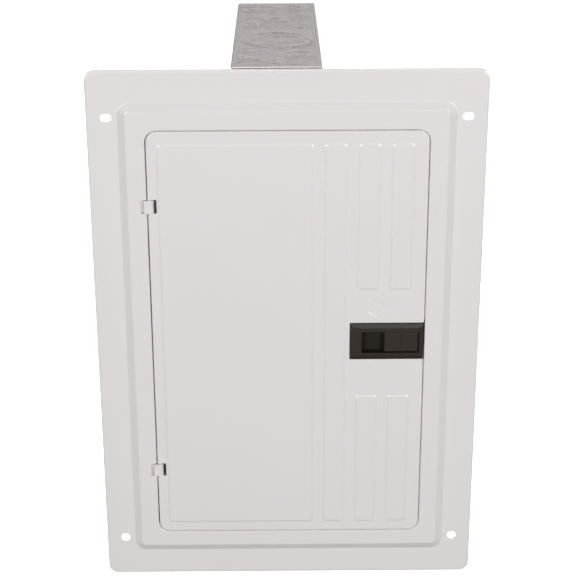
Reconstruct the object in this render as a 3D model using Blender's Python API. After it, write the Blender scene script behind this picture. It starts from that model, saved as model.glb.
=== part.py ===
"""Residential load center: a flush cover with a hinged, latched door, standing in front of its
galvanised enclosure, which is turned edge-on and holds the bus, neutral and ground bars and breakers.

Dimensions are in millimetres and meshes are made in metres. The world has +Z up and the cover faces -Y.
Cover pieces are drawn in the cover's frame: origin at its centre, on the flange's front face, +Y inward.
Enclosure pieces are drawn in the enclosure's frame: origin at the centre of its back, open face at -Y.
"""

import math

import bmesh
import bpy
from mathutils import Vector

MM = 0.001
GAP = 0.3

# Where the two stand
COVER_WIDTH, COVER_HEIGHT = 393.7, 559.0
BOX_WIDTH, BOX_HEIGHT, BOX_DEPTH = 362.0, 538.5, 95.5
STAND_OFF = 103.5
BOX_CENTRE_X = -10.3

# Cover and door
SHEET = 1.2
RIM_DEPTH = 6.0
RAISE = 4.5
FRAME_CENTRE = (-0.1, -1.1)
FRAME_HALF = (166.4, 249.1)
FRAME_SLOPE = 8.0
DOOR_CENTRE = (0.35, -2.35)
DOOR_HALF = (139.35, 222.65)
SEAM = 0.9
DOOR_FLANGE_BACK = 1.0
COVER_HOLE_X = 177.0
COVER_HOLE_TOP, COVER_HOLE_BOTTOM = 233.0, -235.0
PAD_RAISE, PAD_SLOPE = 0.8, 2.5
TALL_PAD_ENDS = (-214.0, 207.5)
UPPER_PAD_ENDS, LOWER_PAD_ENDS = (53.5, 207.5), (-214.0, -64.0)
LOCK_MARK = (89.8, 34.5, 9.0)

# Hinge: a strap on the cover curls round a narrow strip of the door
HINGE_HEIGHTS = (143.5, -150.0)
STRIP_HALF = 1.8
HINGE_AXIS = (DOOR_CENTRE[0] - DOOR_HALF[0] + STRIP_HALF, -RAISE + SHEET / 2)
STRAP_HALF_HEIGHT = 6.8
CURL_INNER, CURL_OUTER = 2.2, 3.0
STRAP_REACH, STRAP_TAIL = 5.8, 15.0
NOTCH_REACH = 9.8
DOOR_SLOT_END = 7.2

# The curls reach furthest forward; the whole is centred front to back on the world's origin
FRONT_REACH = CURL_OUTER - HINGE_AXIS[1]
COVER_Y = FRONT_REACH - (FRONT_REACH + STAND_OFF + BOX_WIDTH) / 2

# Latch
HOUSING_X = (63.8, 139.3)
HOUSING_Z = (-23.1, 16.5)
HOUSING_FRONT, HOUSING_BACK = -6.3, 9.0
CHANNEL_X = (76.0, 134.5)
CHANNEL_Z = (-15.4, 7.3)
CHANNEL_FLOOR = 3.0
SLIDER_X = (98.9, 134.2)
TONGUE_TIP = 146.5
TONGUE_Y = (0.2, 2.4)
TONGUE_HALF = 6.0
RIB_COUNT = 7

# Dead front
DEAD_CENTRE = (0.1, -4.0)
DEAD_HALF = (151.0, 230.1)
DEAD_FLANGE = 5.4
DEAD_FLANGE_Y = -3.0
DEAD_FLOOR = 16.0

# Breakers, in the enclosure's frame
ROW_PITCH = 25.4
ROWS_TOP = 45.0
ROW_COUNT = 8
BREAKER_ROWS = ((0, 2), (2, 1), (3, 1), (4, 1))
NOSE_Y, SHOULDER_Y = -88.5, -84.5
NOSE_X = (22.0, 60.0)
PIVOT_X, PIVOT_Y = 41.0, -82.0
DRUM_RADIUS, LEVER_REACH = 9.0, 17.0
LEVER_TILT = 19.0
MAIN_HALF_WIDTH = 32.0
MAIN_NOSE_Z = (73.0, 157.0)
MAIN_PIVOT = (-81.0, 115.0)
MAIN_DRUM, MAIN_REACH = 11.0, 19.0

# Enclosure interior
WALL = 1.5
PAN_FOOT_X, PAN_SCREW_Z = 101.0, (190.0, -180.0)
NEUTRAL_X = (109.0, 121.0)
NEUTRAL_Z = (-186.0, 60.0)
STRAP_Z = -179.0
BOND_X = -60.0
LUG_X = 17.0


def clear_scene():
    for obj in list(bpy.data.objects):
        bpy.data.objects.remove(obj)


def material(name, colour, roughness, metallic=0.0):
    mat = bpy.data.materials.new(name)
    mat.use_nodes = True
    shader = mat.node_tree.nodes["Principled BSDF"]
    shader.inputs["Base Color"].default_value = (*colour, 1.0)
    shader.inputs["Roughness"].default_value = roughness
    shader.inputs["Metallic"].default_value = metallic
    return mat


def make_materials():
    return {
        "paint": material("white_paint", (0.72, 0.70, 0.69), 0.35),
        "zinc": material("galvanised_steel", (0.46, 0.44, 0.44), 0.4, 0.9),
        "latch": material("latch_plastic", (0.035, 0.028, 0.025), 0.4),
        "case": material("breaker_plastic", (0.03, 0.03, 0.032), 0.45),
        "handle": material("handle_plastic", (0.05, 0.05, 0.05), 0.35),
        "base": material("bus_insulator", (0.10, 0.10, 0.11), 0.5),
        "bus": material("tinned_bus", (0.70, 0.69, 0.66), 0.3, 1.0),
        "bar": material("aluminium_bar", (0.75, 0.75, 0.76), 0.35, 1.0),
        "screw": material("plated_screw", (0.60, 0.58, 0.50), 0.3, 1.0),
        "bond": material("green_screw", (0.05, 0.30, 0.10), 0.35, 0.3),
        "card": material("directory_card", (0.80, 0.79, 0.75), 0.8),
    }


# Outlines


def rounded_loop(centre, half, radius, steps=5):
    """Points of a rounded rectangle, anticlockwise, the same number at every size."""
    corners = ((1, 1, 0), (-1, 1, 90), (-1, -1, 180), (1, -1, 270))
    points = []
    for side_x, side_z, start in corners:
        for i in range(steps + 1):
            angle = math.radians(start + 90 * i / steps)
            points.append(
                (
                    centre[0] + side_x * (half[0] - radius) + radius * math.cos(angle),
                    centre[1] + side_z * (half[1] - radius) + radius * math.sin(angle),
                )
            )
    return points


def circle(centre, radius, segments=20):
    turns = (2 * math.pi * i / segments for i in range(segments))
    return [(centre[0] + radius * math.cos(a), centre[1] + radius * math.sin(a)) for a in turns]


def arc(radius, start, end, steps):
    """Arc about the origin, from one angle in degrees to another."""
    angles = (math.radians(start + (end - start) * i / steps) for i in range(steps + 1))
    return [(radius * math.cos(a), radius * math.sin(a)) for a in angles]


def rectangle(low_a, high_a, low_b, high_b):
    return [(low_a, low_b), (high_a, low_b), (high_a, high_b), (low_a, high_b)]


# Meshes


def add_extrusion(bm, outline, axis, low, high):
    """Extrudes an outline drawn in the two other axes, in X, Y, Z order, from low to high along an axis."""

    def place(a, b, along):
        point = {"X": (along, a, b), "Y": (a, along, b), "Z": (a, b, along)}[axis]
        return Vector(point) * MM

    ends = [[bm.verts.new(place(a, b, along)) for a, b in outline] for along in (low, high)]
    for ring in ends:
        bm.faces.new(ring)
    count = len(outline)
    for i in range(count):
        j = (i + 1) % count
        bm.faces.new((ends[0][i], ends[0][j], ends[1][j], ends[1][i]))


def add_box(bm, x, y, z):
    add_extrusion(bm, rectangle(*x, *y), "Z", *z)


def add_loops(bm, loops, capped):
    """Joins rounded rectangles (centre, half, radius, y) in turn, into a closed band or a capped tray."""
    rings = []
    for centre, half, radius, y in loops:
        points = rounded_loop(centre, half, radius)
        rings.append([bm.verts.new(Vector((x, y, z)) * MM) for x, z in points])
    count = len(rings[0])
    pairs = zip(rings, rings[1:] if capped else rings[1:] + rings[:1])
    for a, b in pairs:
        for i in range(count):
            j = (i + 1) % count
            bm.faces.new((a[i], a[j], b[j], b[i]))
    if capped:
        bm.faces.new(rings[0])
        bm.faces.new(rings[-1])


def make_object(name, bm, parent, mat=None, at=(0, 0, 0)):
    bmesh.ops.recalc_face_normals(bm, faces=bm.faces)
    mesh = bpy.data.meshes.new(name)
    bm.to_mesh(mesh)
    bm.free()
    obj = bpy.data.objects.new(name, mesh)
    bpy.context.collection.objects.link(obj)
    obj.parent = parent
    obj.location = Vector(at) * MM
    if mat:
        mesh.materials.append(mat)
    return obj


def shade_round(obj):
    obj.data.shade_smooth()
    obj.data.set_sharp_from_angle(angle=math.radians(35))


def boolean(target, operation, bm):
    """Cuts a target with the bodies in a bmesh, or joins them to it."""
    label = f"{target.name}_{operation.lower()}"
    tool = make_object(label, bm, target.parent)
    tool.location = target.location
    tool.hide_render = True
    tool.display_type = "WIRE"
    modifier = target.modifiers.new(label, "BOOLEAN")
    modifier.operation = operation
    modifier.solver = "EXACT"
    modifier.object = tool


def empty(name, location, turn=0.0):
    obj = bpy.data.objects.new(name, None)
    bpy.context.collection.objects.link(obj)
    obj.location = Vector(location) * MM
    obj.rotation_euler.z = math.radians(turn)
    return obj


# Cover


def trim_cover(frame, mats):
    """Stamped sheet: rolled rim, flat flange, raised frame and turned-in door opening."""
    centre, half = (0, 0), (COVER_WIDTH / 2, COVER_HEIGHT / 2)

    def inset(size, amount):
        return (size[0] - amount, size[1] - amount)

    opening = (DOOR_HALF[0] + SEAM, DOOR_HALF[1] + SEAM)
    top = inset(FRAME_HALF, FRAME_SLOPE)
    face, back = -RAISE, SHEET - RAISE
    loops = [
        (centre, half, 10.0, RIM_DEPTH),
        (centre, half, 10.0, 2.2),
        (centre, inset(half, 0.65), 9.4, 0.6),
        (centre, inset(half, 2.25), 8.0, 0.0),
        (FRAME_CENTRE, FRAME_HALF, 12.0, 0.0),
        (FRAME_CENTRE, top, 8.0, face),
        (DOOR_CENTRE, inset(opening, -0.9), 13.4, face),
        (DOOR_CENTRE, opening, 12.5, face + 0.7),
        (DOOR_CENTRE, opening, 12.5, -0.5),
        (DOOR_CENTRE, inset(opening, -SHEET), 13.7, -0.5),
        (DOOR_CENTRE, inset(opening, -SHEET), 13.7, back),
        (FRAME_CENTRE, inset(top, 0.3), 7.7, back),
        (FRAME_CENTRE, inset(FRAME_HALF, 0.3), 11.7, SHEET),
        (centre, inset(half, 2.55), 7.7, SHEET),
        (centre, inset(half, SHEET), 8.8, 2.2),
        (centre, inset(half, SHEET), 8.8, RIM_DEPTH),
    ]
    bm = bmesh.new()
    add_loops(bm, loops, capped=False)
    cover = make_object("trim_cover", bm, frame, mats["paint"])

    bm = bmesh.new()
    for side in (-1, 1):
        slot = rounded_loop((side * COVER_HOLE_X, COVER_HOLE_TOP), (5.5, 4.0), 3.9, steps=3)
        add_extrusion(bm, slot, "Y", -3, 4)
        add_extrusion(bm, circle((side * COVER_HOLE_X, COVER_HOLE_BOTTOM), 4.8, 16), "Y", -3, 4)
    notch_x = (HINGE_AXIS[0] - NOTCH_REACH, HINGE_AXIS[0])
    for z in HINGE_HEIGHTS:
        reach = STRAP_HALF_HEIGHT + 0.5
        add_box(bm, notch_x, (-7, 0), (z - reach, z + reach))
    boolean(cover, "DIFFERENCE", bm)
    return cover


def dead_front(frame, mats):
    """Pan behind the door, with windows for the breakers and closed twist-outs for the spare spaces."""
    outer = (DEAD_HALF[0] + 1, DEAD_HALF[1] + 1)
    flange = (DEAD_HALF[0] + DEAD_FLANGE, DEAD_HALF[1] + DEAD_FLANGE)
    loops = [
        (DEAD_CENTRE, DEAD_HALF, 6, DEAD_FLOOR),
        (DEAD_CENTRE, DEAD_HALF, 6, DEAD_FLANGE_Y),
        (DEAD_CENTRE, flange, 8, DEAD_FLANGE_Y),
        (DEAD_CENTRE, flange, 8, DEAD_FLANGE_Y + 1),
        (DEAD_CENTRE, outer, 7, DEAD_FLANGE_Y + 1),
        (DEAD_CENTRE, outer, 7, DEAD_FLOOR + 1),
    ]
    bm = bmesh.new()
    add_loops(bm, loops, capped=True)
    plate = make_object("dead_front", bm, frame, mats["paint"])

    bm = bmesh.new()
    filled_rows = sum(span for _, span in BREAKER_ROWS)
    low, high = ROWS_TOP - filled_rows * ROW_PITCH - 0.5, ROWS_TOP + 0.5
    through = (DEAD_FLOOR - 4, DEAD_FLOOR + 4)
    for side in (-1, 1):
        window = sorted((side * (NOSE_X[0] - 1), side * (NOSE_X[1] + 1)))
        add_box(bm, window, through, (low, high))
    main_reach = MAIN_HALF_WIDTH + 1
    add_box(bm, (-main_reach, main_reach), through, (MAIN_NOSE_Z[0] - 3, MAIN_NOSE_Z[1] + 3))
    for z in HINGE_HEIGHTS:
        notch_x = (DEAD_CENTRE[0] - flange[0] - 2, HINGE_AXIS[0] - 6)
        add_box(bm, notch_x, (DEAD_FLANGE_Y - 1, 2.0), (z - 12, z + 12))
    boolean(plate, "DIFFERENCE", bm)

    bm = bmesh.new()
    for row in range(filled_rows, ROW_COUNT):
        for side in (-1, 1):
            middle = (side * (NOSE_X[0] + NOSE_X[1]) / 2, row_height(row))
            twist_out = rounded_loop(middle, (19.0, 11.2), 2.0, steps=2)
            add_extrusion(bm, twist_out, "Y", DEAD_FLOOR - 0.5, DEAD_FLOOR + 0.5)
    boolean(plate, "UNION", bm)
    return plate


def hinge_strap(name, z, frame, mats):
    """Strap that comes through the cover's notch, crosses the seam and curls round the door's strip."""
    outline = [(-STRAP_TAIL, 1.0), (-STRAP_REACH, 1.0), (-STRAP_REACH, -CURL_OUTER)]
    outline += arc(CURL_OUTER, -90, 120, 10)
    outline += arc(CURL_INNER, 120, -90, 10)
    inner_x = CURL_OUTER - CURL_INNER - STRAP_REACH
    outline += [(inner_x, -CURL_INNER), (inner_x, 1.8), (-STRAP_TAIL, 1.8)]
    bm = bmesh.new()
    add_extrusion(bm, outline, "Z", -STRAP_HALF_HEIGHT, STRAP_HALF_HEIGHT)
    strap = make_object(name, bm, frame, mats["paint"], (*HINGE_AXIS, z))
    shade_round(strap)
    return strap


# Door and latch


def door_pads():
    """Embossed panels on the door as (low x, high x, low z, high z)."""
    pads = [(-129.0, 26.5, *TALL_PAD_ENDS), (36.5, 59.5, *TALL_PAD_ENDS)]
    for low, high in ((70.0, 92.8), (103.0, 126.0)):
        pads += [(low, high, *UPPER_PAD_ENDS), (low, high, *LOWER_PAD_ENDS)]
    return pads


def add_pad(bm, low_x, high_x, low_z, high_z):
    centre = ((low_x + high_x) / 2, (low_z + high_z) / 2)
    half = ((high_x - low_x) / 2, (high_z - low_z) / 2)
    top = (half[0] - PAD_SLOPE, half[1] - PAD_SLOPE)
    loops = [
        (centre, half, 4.0, 0.4 - RAISE),
        (centre, half, 4.0, -RAISE),
        (centre, top, 2.0, -RAISE - PAD_RAISE),
    ]
    add_loops(bm, loops, capped=True)


def door_panel(swing, mats):
    """Shallow tray with embossed panels, slots for the hinge straps and a notch for the latch."""
    half, inner = DOOR_HALF, (DOOR_HALF[0] - SHEET, DOOR_HALF[1] - SHEET)
    face = (half[0] - 0.8, half[1] - 0.8)
    loops = [
        (DOOR_CENTRE, face, 10.2, -RAISE),
        (DOOR_CENTRE, half, 11.0, 0.8 - RAISE),
        (DOOR_CENTRE, half, 11.0, DOOR_FLANGE_BACK),
        (DOOR_CENTRE, inner, 9.8, DOOR_FLANGE_BACK),
        (DOOR_CENTRE, inner, 9.8, SHEET - RAISE),
    ]
    bm = bmesh.new()
    add_loops(bm, loops, capped=True)
    door = make_object("door_panel", to_axis(bm), swing, mats["paint"])

    bm = bmesh.new()
    for pad in door_pads():
        add_pad(bm, *pad)
    boolean(door, "UNION", to_axis(bm))

    slot_x = (HINGE_AXIS[0] + STRIP_HALF, HINGE_AXIS[0] + DOOR_SLOT_END)
    left = DOOR_CENTRE[0] - half[0]
    bm = bmesh.new()
    for z in HINGE_HEIGHTS:
        relief_y = (SHEET - RAISE - 0.05, DOOR_FLANGE_BACK + 2)
        add_box(bm, (left - 3, slot_x[1]), relief_y, (z - 12, z + 12))
    add_box(bm, (HOUSING_X[0] - GAP, 150), (-9, 4), (HOUSING_Z[0] - GAP, HOUSING_Z[1] + GAP))
    add_extrusion(bm, circle(LOCK_MARK[:2], LOCK_MARK[2], 24), "Y", -7, 0.3 - RAISE)
    boolean(door, "DIFFERENCE", to_axis(bm))

    bm = bmesh.new()
    for z in HINGE_HEIGHTS:
        reach = STRAP_HALF_HEIGHT + 0.8
        add_box(bm, slot_x, (-7, 0), (z - reach, z + reach))
    boolean(door, "DIFFERENCE", to_axis(bm))
    return door


def to_axis(bm):
    """Moves cover-frame geometry so that its origin is the door's hinge axis."""
    bmesh.ops.translate(bm, verts=bm.verts, vec=Vector((-HINGE_AXIS[0], -HINGE_AXIS[1], 0)) * MM)
    return bm


def latch_housing(swing, mats):
    """Moulded body in the door's notch, with a finger pocket and channel for the slider."""
    chamfer = 1.2
    middle = (sum(HOUSING_X) / 2, sum(HOUSING_Z) / 2)
    half = ((HOUSING_X[1] - HOUSING_X[0]) / 2, (HOUSING_Z[1] - HOUSING_Z[0]) / 2)
    face = (half[0] - chamfer, half[1] - chamfer)
    loops = [
        (middle, face, 1.5, HOUSING_FRONT),
        (middle, half, 2.0, HOUSING_FRONT + chamfer),
        (middle, half, 2.0, HOUSING_BACK),
    ]
    bm = bmesh.new()
    add_loops(bm, loops, capped=True)
    housing = make_object("latch_housing", to_axis(bm), swing, mats["latch"])
    bm = bmesh.new()
    add_box(bm, CHANNEL_X, (HOUSING_FRONT - 2, CHANNEL_FLOOR), CHANNEL_Z)
    boolean(housing, "DIFFERENCE", to_axis(bm))
    bm = bmesh.new()
    reach = TONGUE_HALF + GAP
    mid = sum(CHANNEL_Z) / 2
    slot_y = (TONGUE_Y[0] - GAP, TONGUE_Y[1] + GAP)
    add_box(bm, (CHANNEL_X[1] - 1, 160), slot_y, (mid - reach, mid + reach))
    boolean(housing, "DIFFERENCE", to_axis(bm))
    return housing


def latch_slider(swing, mats):
    """Thumb slide with grip ribs; its tongue reaches behind the cover's edge."""
    bm = bmesh.new()
    z = (CHANNEL_Z[0] + GAP, CHANNEL_Z[1] - GAP)
    add_box(bm, SLIDER_X, (HOUSING_FRONT + 0.9, CHANNEL_FLOOR - GAP), z)
    slider = make_object("latch_slider", to_axis(bm), swing, mats["latch"])
    bm = bmesh.new()
    mid = sum(CHANNEL_Z) / 2
    add_box(bm, (SLIDER_X[1] - 2, TONGUE_TIP), TONGUE_Y, (mid - TONGUE_HALF, mid + TONGUE_HALF))
    for i in range(RIB_COUNT):
        rib = mid + 2.6 * (i - (RIB_COUNT - 1) / 2)
        rib_y = (HOUSING_FRONT + 0.2, HOUSING_FRONT + 1.4)
        add_box(bm, (SLIDER_X[0] + 10, SLIDER_X[0] + 20), rib_y, (rib - 0.5, rib + 0.5))
    boolean(slider, "UNION", to_axis(bm))
    return slider


def directory_card(swing, mats):
    bm = bmesh.new()
    back = SHEET - RAISE
    add_box(bm, (-100, 20), (back + GAP, back + GAP + 0.5), (-70, 120))
    return make_object("directory_card", to_axis(bm), swing, mats["card"])


# Enclosure


def knockouts():
    """Knockouts of an end wall as (x, distance from the back, radius) in the enclosure's frame."""
    small, medium = 11.0, 15.5
    found = [(x, 18.0, small) for x in (165, 130, 92, 45, -98, -135)]
    found += [(72, 45.0, 12.5), (145, 70.0, 17.0), (98, 76.0, small), (36, 76.0, small)]
    found += [(-119, 71.0, medium), (-156, 46.0, small), (-42, 57.5, 21.5)]
    return found


def enclosure_box(frame, mats):
    """Galvanised box, open at the front, with lips, cover-screw tabs, mounting holes and knockouts."""
    centre, half = (0, 0), (BOX_WIDTH / 2, BOX_HEIGHT / 2)
    inner = (half[0] - WALL, half[1] - WALL)
    loops = [
        (centre, half, 2.5, 0),
        (centre, half, 2.5, -BOX_DEPTH),
        (centre, inner, 1.0, -BOX_DEPTH),
        (centre, inner, 1.0, -WALL),
    ]
    bm = bmesh.new()
    add_loops(bm, loops, capped=True)
    box = make_object("enclosure_box", bm, frame, mats["zinc"])

    bm = bmesh.new()
    lip_y = (-BOX_DEPTH, WALL - BOX_DEPTH)
    for side in (-1, 1):
        add_box(bm, (-150, 150), lip_y, sorted((side * (inner[1] - 9), side * (half[1] - 0.7))))
        for z in (COVER_HOLE_TOP, COVER_HOLE_BOTTOM):
            tab_x = sorted((side * 167, side * (half[0] - 0.7)))
            add_box(bm, tab_x, lip_y, (z - 8, z + 8))
    boolean(box, "UNION", bm)

    bm = bmesh.new()
    for side in (-1, 1):
        for z in (COVER_HOLE_TOP, COVER_HOLE_BOTTOM):
            hole = circle((side * (COVER_HOLE_X - 0.5), z), 1.7, 10)
            add_extrusion(bm, hole, "Y", -BOX_DEPTH - 2, 3 - BOX_DEPTH)
        for z in PAN_SCREW_Z:
            add_extrusion(bm, circle((side * PAN_FOOT_X, z), 2.3, 10), "Y", -4, 2)
            add_extrusion(bm, circle((side * 60, z + 35 * (1 if z > 0 else -1)), 3.5, 12), "Y", -4, 2)
            wall_x = sorted((side * (half[0] - 4), side * (half[0] + 2)))
            add_extrusion(bm, circle((-22, z), 3.0, 12), "X", *wall_x)
        end = side * half[1]
        for x, depth, radius in knockouts():
            pressed = sorted((end - side * 0.5, end + side * 3))
            add_extrusion(bm, circle((x, -depth), radius), "Z", *pressed)
    boolean(box, "DIFFERENCE", bm)

    bm = bmesh.new()
    x = knockouts()[-1][0]
    for side in (-1, 1):
        end = side * half[1]
        pressed = sorted((end - side * 0.5, end + side * 3))
        add_ring(bm, circle((x, -55.0), 31.0, 28), circle((x, -49.5), 40.5, 28), pressed)
    boolean(box, "DIFFERENCE", bm)
    return box


def add_ring(bm, inner, outer, ends):
    """Upright ring between two circles, with flat ends, standing along Z."""
    rings = []
    for points, z in ((outer, ends[0]), (outer, ends[1]), (inner, ends[1]), (inner, ends[0])):
        rings.append([bm.verts.new(Vector((x, y, z)) * MM) for x, y in points])
    for a, b in zip(rings, rings[1:] + rings[:1]):
        for i in range(len(inner)):
            j = (i + 1) % len(inner)
            bm.faces.new((a[i], a[j], b[j], b[i]))


def interior_pan(frame, mats):
    """Hat-section steel pan that carries the bus and breakers."""
    right = [(90.5, -18.0), (90.5, -1.8), (110, -1.8), (110, -3.3), (92, -3.3), (92, -19.5)]
    outline = right + [(-x, y) for x, y in reversed(right)]
    bm = bmesh.new()
    add_extrusion(bm, outline, "Z", -195, 205)
    pan = make_object("interior_pan", bm, frame, mats["zinc"])
    bm = bmesh.new()
    for x in (-PAN_FOOT_X, PAN_FOOT_X):
        for z in PAN_SCREW_Z:
            add_extrusion(bm, circle((x, z), 2.3, 10), "Y", -6, 0)
    add_extrusion(bm, circle((BOND_X, STRAP_Z), 3.0, 12), "Y", -24, -14)
    boolean(pan, "DIFFERENCE", bm)
    return pan


def screw(name, x, z, under_head, shank_end, head, shank, frame, mat):
    """Pan-head screw along Y with a driver slot."""
    bm = bmesh.new()
    crown = [(0, -2.6), (0.55 * head, -2.5), (0.9 * head, -1.7), (head, -0.6), (head, 0)]
    profile = crown + [(shank, 0), (shank, shank_end - under_head), (0, shank_end - under_head)]
    rings = []
    segments = 12
    for radius, y in profile:
        if radius == 0:
            rings.append([bm.verts.new(Vector((0, y, 0)) * MM)])
        else:
            points = circle((0, 0), radius, segments)
            rings.append([bm.verts.new(Vector((a, y, b)) * MM) for a, b in points])
    for a, b in zip(rings, rings[1:]):
        for i in range(segments):
            j = (i + 1) % segments
            corners = {a[i % len(a)]: 1, a[j % len(a)]: 1, b[j % len(b)]: 1, b[i % len(b)]: 1}
            bm.faces.new(list(corners))
    obj = make_object(name, bm, frame, mat, (x, under_head, z))
    bm = bmesh.new()
    add_box(bm, (-head, head), (-4, -1.4), (-0.5, 0.5))
    boolean(obj, "DIFFERENCE", bm)
    shade_round(obj)
    return obj


def row_height(row):
    """Middle of a breaker space, counted from the top."""
    return ROWS_TOP - ROW_PITCH * (row + 0.5)


def bus_base(frame, mats):
    outline = [(-34, -19.8), (34, -19.8), (34, -33), (30, -33), (30, -25.7)]
    outline += [(-30, -25.7), (-30, -33), (-34, -33)]
    bm = bmesh.new()
    add_extrusion(bm, outline, "Z", -165, 58)
    return make_object("bus_base", bm, frame, mats["base"])


def bus_bar(name, side, frame, mats):
    """Bus bar with a finger and an upright stab at every second breaker space."""
    bm = bmesh.new()
    add_box(bm, sorted((side * 15, side * 27)), (-29, -26), (-160, 75))
    bar = make_object(name, bm, frame, mats["bus"])
    first = 0 if side < 0 else 1
    for y, reach, half_height in (((-28.7, -26.3), 15.5, 4.0), ((-39.7, -26.6), 12.0, 1.25)):
        bm = bmesh.new()
        for row in range(first, ROW_COUNT, 2):
            x = sorted((side * reach, -side * 12))
            z = row_height(row)
            add_box(bm, x, y, (z - half_height, z + half_height))
        boolean(bar, "UNION", bm)
    return bar


def breaker_case(name, side, row, span, frame, mats):
    """Plug-on breaker body lying across the bus, its nose standing through the dead front's window."""
    outline = [(4, -42), (4, SHOULDER_Y), (NOSE_X[0] - 1, SHOULDER_Y), (NOSE_X[0] + 1, NOSE_Y)]
    outline += [(NOSE_X[1] - 1, NOSE_Y), (NOSE_X[1], SHOULDER_Y), (78, -76), (78, -20.5)]
    outline += [(44, -20.5), (44, -42)]
    top = ROWS_TOP - ROW_PITCH * row - 0.25
    low = ROWS_TOP - ROW_PITCH * (row + span) + 0.25
    bm = bmesh.new()
    add_extrusion(bm, [(side * x, y) for x, y in outline], "Z", low, top)
    case = make_object(name, bm, frame, mats["case"])
    bm = bmesh.new()
    for pole in range(span):
        z = row_height(row + pole)
        seat = circle((side * PIVOT_X, PIVOT_Y), DRUM_RADIUS + GAP, 20)
        add_extrusion(bm, seat, "Z", z - 4.8, z + 4.8)
        terminal = circle((-50, z), 5.0, 10)
        add_extrusion(bm, terminal, "X", *sorted((side * 68, side * 84)))
    boolean(case, "DIFFERENCE", bm)
    return case


def add_lever(bm, drum, reach, thickness, axis, low, high, tilt):
    """Handle drum and tapered lever about the origin, tilted from -Y towards the second plane axis."""
    lean = math.radians(tilt)
    first = math.degrees(math.asin(thickness / 2 / drum))
    outline = arc(drum, first, 360 - first, 16)
    outline += [(reach, -thickness * 0.36), (reach, thickness * 0.36)]
    turned = []
    for along, across in outline:
        towards = along * math.sin(lean) + across * math.cos(lean)
        outward = -along * math.cos(lean) + across * math.sin(lean)
        turned.append((towards, outward) if axis == "Z" else (outward, towards))
    add_extrusion(bm, turned, axis, low, high)


def branch_handle(name, side, row, span, frame, mats):
    """Toggle at rest in its off position, away from the bus; two poles share a tie bar."""
    middle = row_height(row) - ROW_PITCH * (span - 1) / 2
    offsets = [ROW_PITCH * (i - (span - 1) / 2) for i in range(span)]
    bm = bmesh.new()
    for offset in offsets:
        tilt = side * LEVER_TILT
        add_lever(bm, DRUM_RADIUS, LEVER_REACH, 4.4, "Z", offset - 4.5, offset + 4.5, tilt)
    handle = make_object(name, bm, frame, mats["handle"], (side * PIVOT_X, PIVOT_Y, middle))
    if span > 1:
        lean = math.radians(side * LEVER_TILT)
        tie = []
        for across, along in rectangle(-1.3, 1.3, 12.0, 16.2):
            towards = along * math.sin(lean) + across * math.cos(lean)
            tie.append((towards, across * math.sin(lean) - along * math.cos(lean)))
        bm = bmesh.new()
        add_extrusion(bm, tie, "Z", offsets[0] - 3, offsets[-1] + 3)
        boolean(handle, "UNION", bm)
    return handle


def main_breaker(frame, mats):
    outline = [(-44, 62), (SHOULDER_Y, 62), (SHOULDER_Y, 71), (NOSE_Y, MAIN_NOSE_Z[0])]
    outline += [(NOSE_Y, MAIN_NOSE_Z[1]), (SHOULDER_Y, 159), (SHOULDER_Y, 172), (-20.5, 172)]
    outline += [(-20.5, 82), (-44, 82)]
    bm = bmesh.new()
    add_extrusion(bm, outline, "X", -MAIN_HALF_WIDTH, MAIN_HALF_WIDTH)
    case = make_object("main_breaker_case", bm, frame, mats["case"])
    bm = bmesh.new()
    add_extrusion(bm, circle(MAIN_PIVOT, MAIN_DRUM + 0.4, 24), "X", -9.4, 9.4)
    boolean(case, "DIFFERENCE", bm)

    bm = bmesh.new()
    add_lever(bm, MAIN_DRUM, MAIN_REACH, 6.4, "X", -9, 9, -LEVER_TILT)
    make_object("main_handle", bm, frame, mats["handle"], (0, *MAIN_PIVOT))


def wire_lug(name, x, z, y, size, bore, frame, mats):
    """Box lug with a wire bore along Z and a set screw in its front face."""
    half_x, half_y, half_z = size
    bm = bmesh.new()
    add_box(bm, (x - half_x, x + half_x), (y - half_y, y + half_y), (z - half_z, z + half_z))
    lug = make_object(name, bm, frame, mats["bar"])
    bm = bmesh.new()
    bore_y = y + half_y - bore - 3
    add_extrusion(bm, circle((x, bore_y), bore, 20), "Z", z - half_z - 2, z + half_z + 2)
    boolean(lug, "DIFFERENCE", bm)
    bm = bmesh.new()
    front = y - half_y
    add_extrusion(bm, circle((x, z), half_x * 0.62, 14), "Y", front - 3, front + 1)
    boolean(lug, "UNION", bm)
    return lug


def terminal_bar(name, x, y, z, count, frame, mats):
    """Square bar with a row of terminal screw heads."""
    bm = bmesh.new()
    add_box(bm, x, y, z)
    bar = make_object(name, bm, frame, mats["bar"])
    bm = bmesh.new()
    pitch = (z[1] - z[0]) / count
    for i in range(count):
        middle = (sum(x) / 2, z[0] + pitch * (i + 0.5))
        add_extrusion(bm, circle(middle, 3.2, 8), "Y", y[0] - 2.0, y[0] + 1)
    boolean(bar, "UNION", bm)
    return bar


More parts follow.
